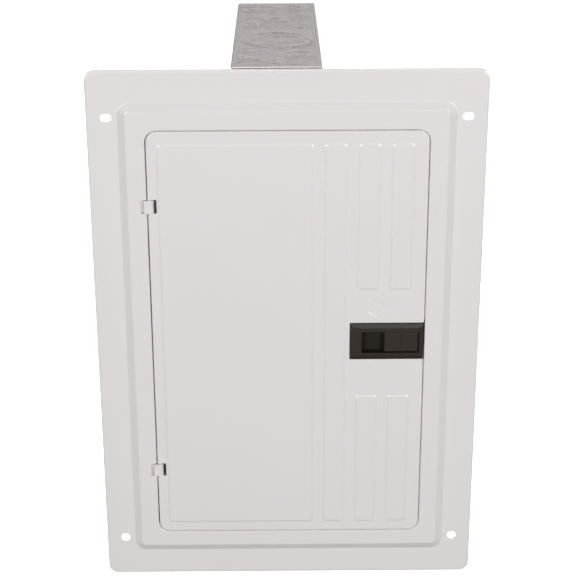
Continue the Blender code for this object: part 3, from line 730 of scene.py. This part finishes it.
def carve_hinge_slots(door):
    """Opens a slot for each curl and clears the rolled edge behind it."""
    x, _ = door_span()
    axis_x = hinge_axis()[0]
    slot_x = (axis_x + STRIP_HALF, axis_x + SLOT_END)
    relief, slots = bmesh.new(), bmesh.new()
    for strap in STRAPS:
        low, high = span(strap, COVER)[2]
        block(relief, (x[0] - 3, slot_x[1]), (SHEET - RAISE + 0.02, 3), relief_z(strap), 0.3)
        block(slots, slot_x, (-7, 0), (low - 0.4, high + 0.4), 0.3)
    carve(door, relief, COVER)
    carve(door, slots, COVER)


def channel_z():
    """Heights of the bezel's channel."""
    low, high = span("latch_housing", COVER)[2]
    return low + CHANNEL_BELOW, high - CHANNEL_ABOVE


def in_pocket(point):
    """Whether a point of the bezel, in the cover frame, lies on the finger pocket's walls or floor, which
    carry the painted shade.
    """
    _, y, _ = span("latch_housing", COVER)
    low, high = channel_z()
    deep = y[0] + 1.5 < point.y < CHANNEL_FLOOR + 0.1
    return deep and low - 0.1 < point.z < high + 0.1 and CHANNEL_X[0] - 0.1 < point.x < CHANNEL_X[1] - 2


def latch_body(mats):
    """Moulded bezel with wide bevels, a square finger pocket and the slider's channel; the pocket's walls
    and floor get a darker, duller copy of the plastic as painted shade.
    """
    x, y, z = span("latch_housing", COVER)
    bm = bmesh.new()
    side = y[0] + 1.6
    path = [(3, y[1]), (0, y[1], 0.8), (0, side, 0.35), (BEZEL_BEVEL, y[0], 0.9), (BEZEL_BEVEL + 3, y[0])]
    solid(bm, rectangle(x, z, 1.6), fillet(path, 4), steps=5)
    body = new_object("latch_bezel", bm, COVER)
    bm = bmesh.new()
    rim = [(-1.4, y[0] - 1), (-0.5, y[0] + 0.1), (0, y[0] + 0.9), (0, CHANNEL_FLOOR)]
    solid(bm, rectangle(CHANNEL_X, channel_z(), 1.0), rim, steps=4)
    carve(body, bm, COVER)
    bm = bmesh.new()
    tongue_z = sum(channel_z()) / 2
    room = TONGUE_HALF + 0.3
    block(bm, (CHANNEL_X[1] - 1, x[1] + 9), (-0.1, 2.7), (tongue_z - room, tongue_z + room), 0.2)
    carve(body, bm, COVER)
    back = COVER.inverted()
    # Faces on the pocket's walls and floor get the darker plastic, painted shade for the recess.
    pocket_shade_faces = [in_pocket(back @ face.center) for face in body.data.polygons]
    settle(body, mats["latch"], "door", "latch_plastic", "latch_housing")
    body.data.materials.append(mats["pocket"])
    for face, inside in zip(body.data.polygons, pocket_shade_faces):
        face.material_index = int(inside)


def latch_slide(mats):
    """Thumb slide: chamfered block, wedge-shaped grip ribs and the tongue that holds the door."""
    x, y, z = span("latch_slider", COVER)
    low, high = SLIDE_X
    bm = bmesh.new()
    middle = sum(z) / 2
    face = y[0] + 0.7
    path = [(2, y[1]), (0, y[1], 0.3), (0, face + 1.0, 0.2), (1.3, face, 0.5), (4, face)]
    solid(bm, rectangle((low, high), z, 1.0), fillet(path, 3), steps=4)
    tongue = [(0.8, x[1]), (0, x[1] - 1.2), (0, high - 1)]
    tongue_z = (middle - TONGUE_HALF, middle + TONGUE_HALF)
    solid(bm, rectangle((0.2, 2.4), tongue_z, 0.4), tongue, "X", steps=3)
    wedge = [(low + 15.5, face + 0.3), (low + 17.6, y[0] + 0.05), (low + 19.7, face + 0.3)]
    for i in range(RIB_COUNT):
        rib = middle + RIB_PITCH * (i - (RIB_COUNT - 1) / 2)
        extruded(bm, wedge, rib - 0.5, rib + 0.8)
    piece("latch_thumb_slide", bm, COVER, mats["latch"], "latch", "latch_plastic", "latch_slider")


def directory(mats):
    x, y, z = span("directory_card", COVER)
    bm = bmesh.new()
    solid(bm, rectangle(x, z, 3.0), [(0, y[0]), (0, y[1])], steps=5)
    piece("directory_sheet", bm, COVER, mats["card"], "door", "card", "directory_card")


# Enclosure


def knockouts():
    """Small knockouts of an end wall: (x, distance from the back, radius)."""
    small, medium = 11.0, 15.5
    found = [(x, 18.0, small) for x in (165, 130, 92, 45, -98, -135)]
    found += [(72, 45.0, 12.5), (145, 70.0, 17.0), (98, 76.0, small), (36, 76.0, small)]
    return found + [(-119, 71.0, medium), (-156, 46.0, small)]


# The large knockouts lie in each other, closer to the open side: (distance from the back, radius)
NESTED_X = -42.0
NESTED = ((49.5, 40.5), (55.0, 31.0), (57.5, 21.5))


def press_knockouts(bm, wall_z, inward):
    """Knockouts pressed a little into an end wall; gives the outer ring of each."""
    depth, slope = 1.5 * inward, 2.8
    rings = []
    for x, back, radius in knockouts():
        score = [(0, 0), (slope, 1), (radius * 0.36, 1), (radius * 0.36 + slope, 0.1)]
        profile = [(inset, wall_z + depth * share) for inset, share in score]
        loops = loft(bm, round_hole((x, -back), radius), profile, "Z", steps=9)
        rings.append(loops[0])
        bm.faces.new(loops[-1])
    inner = None
    for (back, radius), share in zip(NESTED, (0, 1, 0)):
        profile = [(0, wall_z + depth * share), (slope, wall_z + depth * (1 - share))]
        loops = loft(bm, round_hole((NESTED_X, -back), radius), profile, "Z", steps=14)
        if inner:
            fill(bm, [inner, loops[0]])
        else:
            rings.append(loops[0])
        inner = loops[-1]
    bm.faces.new(inner)
    return rings


def wall_holes(bm, wall_x):
    """Rings of the two clearance holes in a long wall."""
    holes = [outline(round_hole((-22.0, height), 3.0), 0, 6) for height in PAN_SCREW_Z]
    return [ring(bm, hole, wall_x, "X") for hole in holes]


def back_holes(bm, level):
    """Rings of the pan's screw holes and the four mounting holes in the back."""
    rings = []
    for side in (-1, 1):
        for height in PAN_SCREW_Z:
            rings.append(ring(bm, outline(round_hole((side * PAN_SCREW_X, height), 2.3), 0, 6), level))
            mount = (side * 60, height + math.copysign(35, height))
            rings.append(ring(bm, outline(round_hole(mount, 3.5), 0, 6), level))
    return rings


def box_sheet(mats):
    """Bent galvanised box with pressed knockouts in both end walls, lips, tabs and holes."""
    x, y, z = span("enclosure_box", BOX)
    steps = 5
    bm = bmesh.new()
    profile = fillet([(20, 0), (0, 0, 2.2), (0, y[0])], 5)[1:]
    rings = [ring(bm, outline(rectangle(x, z, 2.5), inset, steps), level) for inset, level in profile]
    for first, second in zip(rings[:-1], rings[1:-1]):
        bridge(bm, first, second)
    first, second = rings[-2], rings[-1]
    starts = [(i + 1) * (steps + 1) - 1 for i in range(4)]
    bridge(bm, first, second, skip=starts)
    pressed = (press_knockouts(bm, z[0], 1), wall_holes(bm, x[1]),
               press_knockouts(bm, z[1], -1), wall_holes(bm, x[0]))
    for start, holes in zip(starts, pressed):
        after = (start + 1) % len(first)
        fill(bm, [[first[start], first[after], second[after], second[start]], *holes])
    fill(bm, [rings[0], *back_holes(bm, 0)])
    box = new_object("enclosure_sheet", bm, BOX)
    outward(box)
    thicken(box, WALL)
    bm = bmesh.new()
    front = (y[0], y[0] + WALL)
    for side, end, wall in ((-1, z[0], x[0]), (1, z[1], x[1])):
        lip = sorted((end - side * 0.5, end - side * 10.5))
        plate(bm, rectangle((-150, 150), lip, 0.6), [], front)
        for height in (HOLE_TOP, HOLE_BOTTOM):
            tab = rectangle(sorted((wall - side * 0.5, wall - side * 14)), (height - 8, height + 8), 2.0)
            plate(bm, tab, [round_hole((side * (HOLE_X - 0.5), height), 1.7)], front)
    join_mesh(box, bm)
    settle(box, mats["zinc"], ROOT, "galvanised_steel", "enclosure_box")


def outward(obj):
    """Turns an open box's faces away from its middle."""
    mesh = obj.data
    middle = sum((v.co for v in mesh.vertices), Vector()) / len(mesh.vertices)
    largest = max(mesh.polygons, key=lambda face: face.area)
    if largest.normal.dot(largest.center - middle) < 0:
        mesh.flip_normals()


def pan_sheet(mats):
    """Hat-section pan with rounded bends."""
    x, y, z = span("interior_pan", BOX)
    flat, side = -WALL - 1.8, 92.0
    path = [(x[0], flat), (-side, flat, 2.4), (-side, y[0], 2.4), (side, y[0], 2.4), (side, flat, 2.4)]
    bends = fillet([*path, (x[1], flat)], 5)
    bm = bmesh.new()
    rows = [[bm.verts.new((a, b, level)) for a, b in bends] for level in z]
    for i in range(len(bends) - 1):
        bm.faces.new((rows[0][i], rows[0][i + 1], rows[1][i + 1], rows[1][i]))
    pan = new_object("pan_sheet", bm, BOX, front=(0, -1, 0))
    thicken(pan, WALL)
    bm = bmesh.new()
    for side in (-1, 1):
        for height in PAN_SCREW_Z:
            cylinder(bm, (side * PAN_SCREW_X, height), 2.3, -6, 0, segments=16)
    cylinder(bm, middle_of("bonding_screw", BOX), 3.0, -24, -14, segments=16)
    carve(pan, bm, BOX)
    settle(pan, mats["pan"], ROOT, "galvanised_steel", "interior_pan")


def bus_carrier(mats):
    """Moulded channel that holds the bus bars, with a rib between neighbouring spaces."""
    x, y, z = span("bus_base", BOX)
    floor, flange = -25.7, 4
    section = [(x[0], y[1]), (x[1], y[1]), (x[1], y[0]), (x[1] - flange, y[0]), (x[1] - flange, floor)]
    section += [(x[0] + flange, floor), (x[0] + flange, y[0]), (x[0], y[0])]
    corners = [(a, b, 0.4) for a, b in anticlockwise(section)]
    bm = bmesh.new()
    solid(bm, corners, soft_profile(*z, 0.5), "Z", steps=3)
    for row in range(ROW_COUNT + 1):
        level = ROWS_TOP - ROW_PITCH * row
        for side in (-1, 1):
            block(bm, sorted((side * 28, side * 30.5)), (-32, -25.5), (level - 0.8, level + 0.8), 0.2)
    piece("bus_carrier", bm, BOX, mats["base"], ROOT, "insulator", "bus_base")


def bus_bars(mats):
    """Each bar has a finger and an upright stab at every second breaker space."""
    for label, side, first in (("a", -1, 0), ("b", 1, 1)):
        bm = bmesh.new()
        block(bm, sorted((side * 15, side * 27)), (-29, -26), (-160, 75), 0.5)
        for row in range(first, ROW_COUNT, 2):
            level = row_level(row)
            block(bm, sorted((side * 15.5, -side * 12)), (-28.7, -26.3), (level - 4, level + 4), 0.4)
            stab = [(0.9, -39.6), (0.35, -38.2), (0, -36.5), (0, -26.6)]
            x = sorted((side * 12, -side * 12))
            solid(bm, rectangle(x, (level - 1.25, level + 1.25), 0.3), stab, steps=3)
        piece(f"bus_stabs_{label}", bm, BOX, mats["bus"], ROOT, "tinned_bus", f"bus_bar_{label}")


def breaker_outline(x, y, side):
    """Section of a plug-on breaker, from its bus side to its wire side."""
    inner, outer = x
    shoulder, nose = y[0] + 4.0, y[0]
    points = [(inner, -42.0), (inner, shoulder), (21.0, shoulder), (23.0, nose), (59.0, nose)]
    points += [(60.0, shoulder), (outer, -76.0), (outer, y[1]), (44.0, y[1]), (44.0, -42.0)]
    return [(side * a, b) for a, b in points]


def breaker_body(number, side, row, count, mats):
    """Moulded case with a parting line round each pole, toggle wells and wire terminals."""
    node = f"branch_breaker_{number}"
    x, y, z = span(node, BOX)
    reach = tuple(sorted(abs(value) for value in x))
    corners = [(a, b, 0.6) for a, b in anticlockwise(breaker_outline(reach, y, side))]
    profile = [(0.5, z[0]), (0.12, z[0] + 0.15), (0, z[0] + 0.5)]
    pitch = (z[1] - z[0]) / count
    for pole in range(count):
        middle = z[0] + pitch * (pole + 0.5)
        profile += [(0, middle - 0.35), (0.3, middle - 0.1), (0.3, middle + 0.1), (0, middle + 0.35)]
        if pole < count - 1:
            joint = z[0] + pitch * (pole + 1)
            profile += [(0, joint - 0.6), (0.6, joint - 0.1), (0.6, joint + 0.1), (0, joint + 0.6)]
    profile += [(0, z[1] - 0.5), (0.12, z[1] - 0.15), (0.5, z[1])]
    bm = bmesh.new()
    solid(bm, corners, profile, "Z", steps=3)
    case = new_object(f"breaker_case_{number}", bm, BOX)
    bm, screws = bmesh.new(), bmesh.new()
    for pole in range(count):
        level = row_level(row + pole)
        cylinder(bm, (side * PIVOT_X, PIVOT_Y), DRUM + 0.3, level - 4.8, level + 4.8, "Z", 40)
        cylinder(bm, (-50, level), 5.0, *sorted((side * 68, side * 84)), "X")
        cylinder(bm, (side * 70, level), 3.4, -84, -60)
        slotted_head(screws, (side * 70, level), -68.0, 3.0, 2.4, 20 * row + 35)
        block(screws, sorted((side * 69, side * 74)), (-54, -46.5), (level - 4, level + 4), 0.4)
    carve(case, bm, BOX)
    settle(case, mats["case"], ROOT, "breaker_case", node)
    piece(f"breaker_terminals_{number}", screws, BOX, mats["screw"], ROOT, "plated_screw")


def lever_points(drum, reach, thickness):
    """Drum and lever section, with the lever pointing along the first axis."""
    first = math.asin(thickness / 2 / drum)
    steps = 36
    angles = [first + (2 * math.pi - 2 * first) * i / steps for i in range(steps + 1)]
    points = [Vector((drum * math.cos(t), drum * math.sin(t))) for t in angles]
    tip = thickness * 0.36
    return points + fillet([(drum, -tip), (reach, -tip, 1.0), (reach, tip, 1.0), (drum, tip)], 3)[1:-1]


def lean(points, tilt, axis):
    """Turns a section so that its lever leans from the front towards the second direction."""
    angle = math.radians(tilt)
    turned_points = []
    for along, across in points:
        towards = along * math.sin(angle) + across * math.cos(angle)
        front = -along * math.cos(angle) + across * math.sin(angle)
        turned_points.append((towards, front) if axis == "Z" else (front, towards))
    return turned_points


def grip_ridges(bm, centre, lever, width, tilt, axis):
    """Three shallow ridges across both faces of a lever's end."""
    reach, thickness = lever
    half = thickness * 0.36
    for face in (-1, 1):
        root, crest = face * half * 0.8, face * (half + 0.3)
        for step in range(3):
            along = reach - 1.6 - 1.5 * step
            section = [(along - 0.35, root), (along, crest), (along + 0.35, root)]
            extruded(bm, shifted(lean(section, tilt, axis), centre), *width, axis)


def breaker_toggle(number, side, row, count, mats):
    """A lever for each pole; two levers are held together by a tie bar."""
    node = f"branch_handle_{number}"
    bm = bmesh.new()
    tilt = side * LEVER_TILT
    centre = (side * PIVOT_X, PIVOT_Y)
    for pole in range(count):
        level = row_level(row + pole)
        points = shifted(lean(lever_points(DRUM, *LEVER), tilt, "Z"), centre)
        extruded(bm, points, level - 4.5, level + 4.5)
    if count > 1:
        z = (row_level(row + count - 1), row_level(row))
        tie = lean([(12.0, -1.3), (16.2, -1.3), (16.2, 1.3), (12.0, 1.3)], tilt, "Z")
        extruded(bm, shifted(tie, centre), z[0] - 3, z[1] + 3)
    toggle = new_object(f"breaker_toggle_{number}", bm, BOX)
    round_edges(toggle, 0.35, 40)
    bm = bmesh.new()
    for pole in range(count):
        level = row_level(row + pole)
        grip_ridges(bm, centre, LEVER, (level - 3.6, level + 3.6), tilt, "Z")
    join_mesh(toggle, bm)
    settle(toggle, mats["handle"], f"branch_toggle_{number}", "handle_plastic", node)


def main_breaker(mats):
    """Two-pole main with a wide toggle between raised ribs."""
    x, y, z = span("main_breaker_case", BOX)
    nose, shoulder = y[0], y[0] + 4.0
    section = [(-44, z[0]), (shoulder, z[0]), (shoulder, z[0] + 9), (nose, z[0] + 11), (nose, z[1] - 15)]
    section += [(shoulder, z[1] - 13), (shoulder, z[1]), (y[1], z[1]), (y[1], z[0] + 20), (-44, z[0] + 20)]
    corners = [(a, b, 0.8) for a, b in anticlockwise(section)]
    profile = [(0.7, x[0]), (0.2, x[0] + 0.2), (0, x[0] + 0.7)]
    for joint in (-16.0, 16.0):
        profile += [(0, joint - 0.5), (0.45, joint - 0.1), (0.45, joint + 0.1), (0, joint + 0.5)]
    profile += [(0, x[1] - 0.7), (0.2, x[1] - 0.2), (0.7, x[1])]
    bm = bmesh.new()
    solid(bm, corners, profile, "X", steps=3)
    case = new_object("main_case", bm, BOX)
    bm = bmesh.new()
    cylinder(bm, MAIN_PIVOT, MAIN_DRUM + 0.4, -9.4, 9.4, "X", 48)
    screws = [(side, level) for side in (-1, 1) for level in (z[0] + 16, z[1] - 20)]
    for side, level in screws:
        cylinder(bm, (side * 24, level), 2.6, nose - 1, nose + 2.2)
    carve(case, bm, BOX)
    settle(case, mats["case"], ROOT, "breaker_case", "main_breaker_case")
    bm = bmesh.new()
    for side, level in screws:
        slotted_head(bm, (side * 24, level), nose + 2.3, 2.3, 1.4, 30 + side * 25)
    piece("main_case_screws", bm, BOX, mats["screw"], ROOT, "plated_screw")
    bm = bmesh.new()
    points = lean(lever_points(MAIN_DRUM, *MAIN_LEVER), -LEVER_TILT, "X")
    extruded(bm, shifted(points, MAIN_PIVOT), -9, 9, "X")
    toggle = new_object("main_toggle_lever", bm, BOX)
    round_edges(toggle, 0.45, 40)
    bm = bmesh.new()
    grip_ridges(bm, MAIN_PIVOT, MAIN_LEVER, (-7.8, 7.8), -LEVER_TILT, "X")
    join_mesh(toggle, bm)
    settle(toggle, mats["handle"], "main_toggle", "handle_plastic", "main_handle")


def box_lug(node, bore, mats):
    """Extruded lug with a wire bore and a socket set screw."""
    x, y, z = span(node, BOX)
    front = y[0] + 1.0
    bm = bmesh.new()
    block(bm, x, (front, y[1]), z, 0.7, "Z", corner=1.6)
    lug = new_object(node + "_body", bm, BOX)
    centre = middle_of(node, BOX)
    radius = (x[1] - x[0]) / 2 * 0.62
    bm = bmesh.new()
    cylinder(bm, (centre[0], y[1] - bore - 3), bore, z[0] - 2, z[1] + 2, "Z", 40)
    carve(lug, bm, BOX)
    bm = bmesh.new()
    cylinder(bm, centre, radius + 0.35, front - 1, front + 1.2)
    carve(lug, bm, BOX)
    settle(lug, mats["bar"], ROOT, "aluminium_lug", node)
    bm = bmesh.new()
    path = [(0, front + 1.4), (radius, front + 1.4), (radius, y[0] + 0.4), (radius - 0.4, y[0])]
    socket = radius * 0.52
    path += [(socket + 0.3, y[0]), (socket, y[0] + 0.3), (socket, y[0] + 1.9), (0, y[0] + 1.9)]
    turned(bm, path, centre, segments=30)
    piece(node + "_set_screw", bm, BOX, mats["screw"], ROOT, "plated_screw")


def terminal_bar(node, name, count, mats):
    """Extruded bar with a wire hole and a slotted screw at each terminal."""
    x, y, z = span(node, BOX)
    front = y[0] + 2.0
    bm = bmesh.new()
    block(bm, x, (front, y[1]), z, 0.5, "Z", corner=0.9)
    bar = new_object(name, bm, BOX)
    pitch = (z[1] - z[0]) / count
    holes, heads = bmesh.new(), bmesh.new()
    middle = sum(x) / 2
    for i in range(count):
        level = z[0] + pitch * (i + 0.5)
        cylinder(holes, (front + 6.2, level), 2.5, x[0] - 2, x[1] + 2, "X", 20)
        slotted_head(heads, (middle, level), front - 0.05, 3.2, 1.9, (i * 47) % 180)
    carve(bar, holes, BOX)
    settle(bar, mats["bar"], ROOT, "aluminium_lug", node)
    piece(name + "_screws", heads, BOX, mats["screw"], ROOT, "plated_screw")


def neutral_parts(mats):
    """Both neutral bars on their feet, the ground bar and the strap across."""
    for label in ("left", "right"):
        terminal_bar(f"neutral_bar_{label}", f"neutral_terminals_{label}", 14, mats)
        x, y, z = span(f"neutral_support_{label}", BOX)
        bm = bmesh.new()
        block(bm, x, y, z, 0.6, "Z", corner=1.2)
        piece(f"neutral_foot_{label}", bm, BOX, mats["base"], ROOT, "insulator", f"neutral_support_{label}")
    terminal_bar("ground_bar", "ground_terminals", 9, mats)
    x, y, z = span("neutral_strap", BOX)
    bm = bmesh.new()
    plate(bm, rectangle(x, z, 2.0), [round_hole(middle_of("bonding_screw", BOX), 3.0)], y)
    piece("neutral_cross_strap", bm, BOX, mats["bar"], ROOT, "aluminium_lug", "neutral_strap")


def slotted_screws(mats):
    """Screws that hold the pan, and the green one that bonds the neutral to it."""
    names = {f"pan_screw_{i}": ("screw", "plated_screw") for i in range(1, 5)}
    names["bonding_screw"] = ("bond", "green_screw")
    for node, (material, slot) in names.items():
        x, y, _ = span(node, BOX)
        head = (x[1] - x[0]) / 2
        shank = head * 0.5
        under = y[0] + 2.6
        centre = middle_of(node, BOX)
        bm = bmesh.new()
        slotted_head(bm, centre, under, head, 2.5, 30 + 40 * len(node))
        path = [(0, under - 0.5), (shank, under - 0.5)]
        pitch = 1.2
        for i in range(int((y[1] - under) / pitch)):
            path += [(shank, under + pitch * i + 0.2), (shank * 0.86, under + pitch * i + 0.8)]
        path += [(shank * 0.8, y[1] - 0.2), (0, y[1])]
        turned(bm, path, centre)
        piece(node + "_threaded", bm, BOX, mats[material], ROOT, slot, node)


def breakers(mats):
    """Branch breakers down the left column, then the right one, and the main above them."""
    number = 1
    for side in (-1, 1):
        for row, count in BREAKER_ROWS:
            breaker_body(number, side, row, count, mats)
            breaker_toggle(number, side, row, count, mats)
            number += 1
    main_breaker(mats)


# Stage

WORLD = 0.15
# Name, azimuth from the camera's side towards +X, elevation, distance, size and watts
LIGHTS = (
    ("key_right", 27, 13, 3.4, (0.55, 1.5), 52),
    ("key_left", -27, 13, 3.4, (0.55, 1.5), 44),
    ("side_right", 112, 14, 2.4, (0.7, 1.2), 48),
    ("side_left", -112, 14, 2.4, (0.7, 1.2), 45),
    ("back", 180, 27, 2.8, (3.4, 1.1), 5.3),
    ("overhead", 180, 72, 2.4, (2.4, 1.6), 27),
)


def area_light(name, location, target, size, power):
    light = bpy.data.lights.new(name, "AREA")
    light.shape = "RECTANGLE"
    light.size, light.size_y = size
    light.energy = power
    obj = bpy.data.objects.new(name, light)
    bpy.context.scene.collection.objects.link(obj)
    obj.location = location
    obj.rotation_euler = (Vector(target) - Vector(location)).to_track_quat("-Z", "Y").to_euler()
    obj.visible_camera = False


def make_floor():
    """Wide pale floor that lights nothing and isn't mirrored, so the undersides stay dim."""
    bm = bmesh.new()
    reach = 30.0
    solid(bm, rectangle((-reach, reach), (-reach, reach), 5.0), [(0, -0.02), (0, 0.0)], "Z", steps=8)
    floor = new_object("studio_floor", bm, Matrix.Identity(4))
    white = Shader("floor_white", 0.9)
    white.feed("Base Color", white.blend(white.noise(3, 2), (0.88, 0.88, 0.88), (0.90, 0.90, 0.90)))
    white.shader.inputs["Specular IOR Level"].default_value = 0.1
    white.shader.inputs["Emission Color"].default_value = (1, 1, 1, 1)
    white.shader.inputs["Emission Strength"].default_value = 0.8
    floor.data.materials.append(white.material)
    floor.visible_diffuse = False
    floor.visible_glossy = False


def make_lights():
    """Dim world, soft keys low at both sides of the camera, and fills beside, behind and above."""
    world = bpy.data.worlds.new("studio")
    world.use_nodes = True
    background = world.node_tree.nodes["Background"]
    background.inputs["Color"].default_value = (1.0, 0.99, 0.985, 1)
    background.inputs["Strength"].default_value = WORLD
    bpy.context.scene.world = world
    bpy.context.scene.view_settings.view_transform = "Standard"
    target = Vector((0, 0, 0.3))
    for name, azimuth, elevation, distance, size, power in LIGHTS:
        round_object = Matrix.Rotation(math.radians(azimuth), 3, "Z")
        turn = round_object @ Matrix.Rotation(math.radians(-elevation), 3, "X")
        area_light(name, target + turn @ Vector((0, -distance, 0)), target, size, power)


def make_camera():
    """Long lens that looks down on the pair from in front."""
    camera = bpy.data.cameras.new("camera")
    camera.sensor_width = 36.0
    camera.lens = 93.4875
    obj = bpy.data.objects.new("camera", camera)
    bpy.context.scene.collection.objects.link(obj)
    pitch, yaw, roll = math.radians(21.17), math.radians(0.39), math.radians(-0.2)
    origin = COVER.to_translation() + Vector((-0.0095, -1.4197, 0.6043))
    turn = Matrix.Rotation(-yaw, 4, "Z") @ Matrix.Rotation(math.radians(90) - pitch, 4, "X")
    obj.matrix_world = Matrix.Translation(origin) @ turn @ Matrix.Rotation(roll, 4, "Z")
    bpy.context.scene.camera = obj


def main():
    mats = make_materials()
    cover_sheet(mats)
    hinge_straps(mats)
    dead_front_plate(mats)
    door_sheet(mats)
    latch_body(mats)
    latch_slide(mats)
    directory(mats)
    box_sheet(mats)
    pan_sheet(mats)
    bus_carrier(mats)
    bus_bars(mats)
    breakers(mats)
    for node, bore in (("line_lug_a", 6.0), ("line_lug_b", 6.0), ("neutral_lug", 7.0)):
        box_lug(node, bore, mats)
    neutral_parts(mats)
    slotted_screws(mats)
    make_floor()
    make_lights()
    make_camera()


main()
